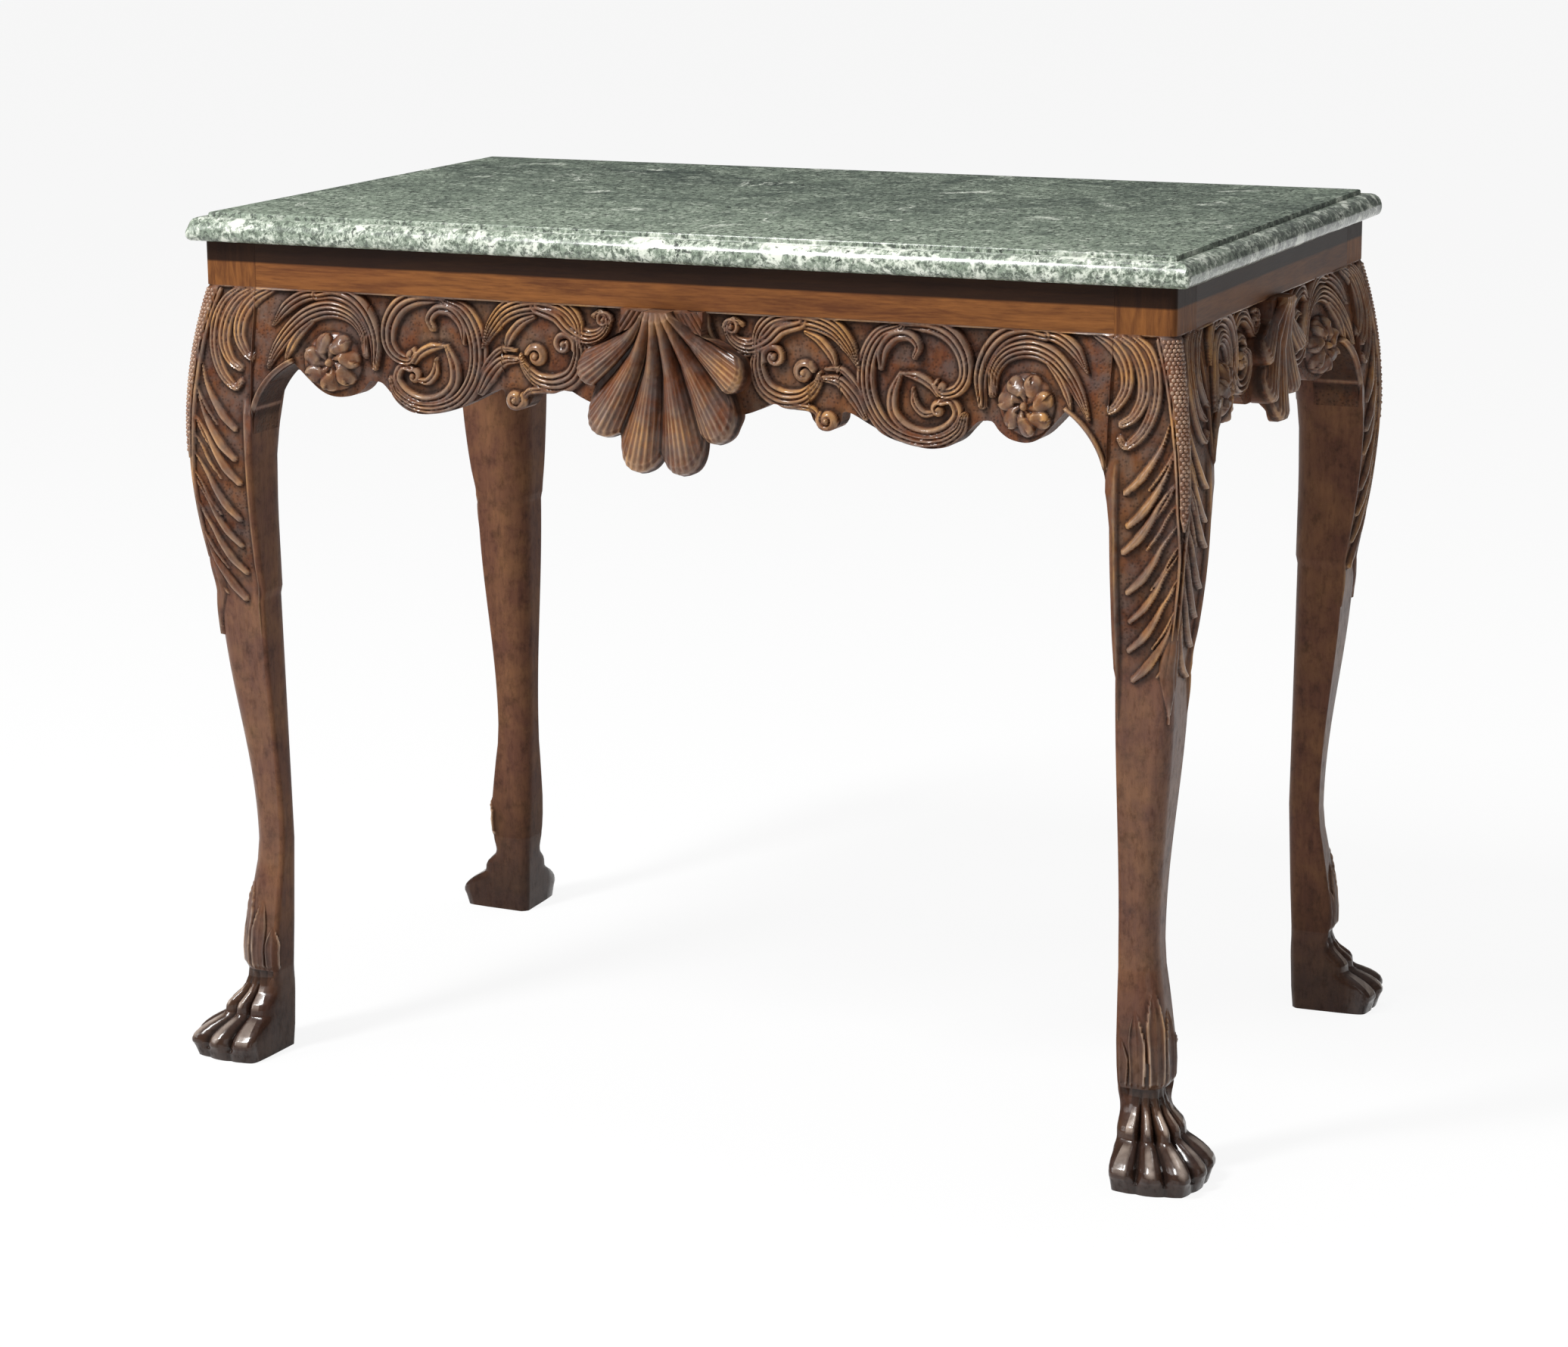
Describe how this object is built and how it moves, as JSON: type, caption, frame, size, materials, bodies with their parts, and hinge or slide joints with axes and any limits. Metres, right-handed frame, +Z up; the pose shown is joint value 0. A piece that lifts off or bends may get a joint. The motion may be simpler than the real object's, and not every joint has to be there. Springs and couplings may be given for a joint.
{
  "type": "carved centre table",
  "caption": "Carved walnut centre table: moulded green marble slab on a frieze with shell-carved aprons, and cabriole legs with acanthus knees and paw feet.",
  "frame": {"origin": "on the floor under the middle of the table", "axes": "X along the long sides, the pictured front faces -Y, Z up"},
  "size_m": [0.9882, 0.6222, 0.78],
  "materials": {
    "green_marble": "polished",
    "frieze_walnut": "waxed",
    "carved_walnut": "waxed",
    "secondary_wood": "bare, aged"
  },
  "bodies": {
    "root": {"apron_back": "carved_walnut", "apron_front": "carved_walnut", "apron_left": "carved_walnut", "apron_right": "carved_walnut", "corner_block_front_left": "secondary_wood", "corner_block_front_right": "secondary_wood", "corner_block_rear_left": "secondary_wood", "corner_block_rear_right": "secondary_wood", "cross_bearer_left": "secondary_wood", "cross_bearer_right": "secondary_wood", "frieze_rail_back": "frieze_walnut", "frieze_rail_front": "frieze_walnut", "frieze_rail_left": "frieze_walnut", "frieze_rail_right": "frieze_walnut", "glue_blocks": "secondary_wood", "knee_bracket_back_left": "carved_walnut", "knee_bracket_back_right": "carved_walnut", "knee_bracket_front_left": "carved_walnut", "knee_bracket_front_right": "carved_walnut", "knee_bracket_left_front": "carved_walnut", "knee_bracket_left_rear": "carved_walnut", "knee_bracket_right_front": "carved_walnut", "knee_bracket_right_rear": "carved_walnut", "leg_front_left": "carved_walnut", "leg_front_right": "carved_walnut", "leg_rear_left": "carved_walnut", "leg_rear_right": "carved_walnut", "marble_top": "green_marble", "shell_back": "carved_walnut", "shell_front": "carved_walnut", "shell_left": "carved_walnut", "shell_right": "carved_walnut"}
  },
  "joints": []
}
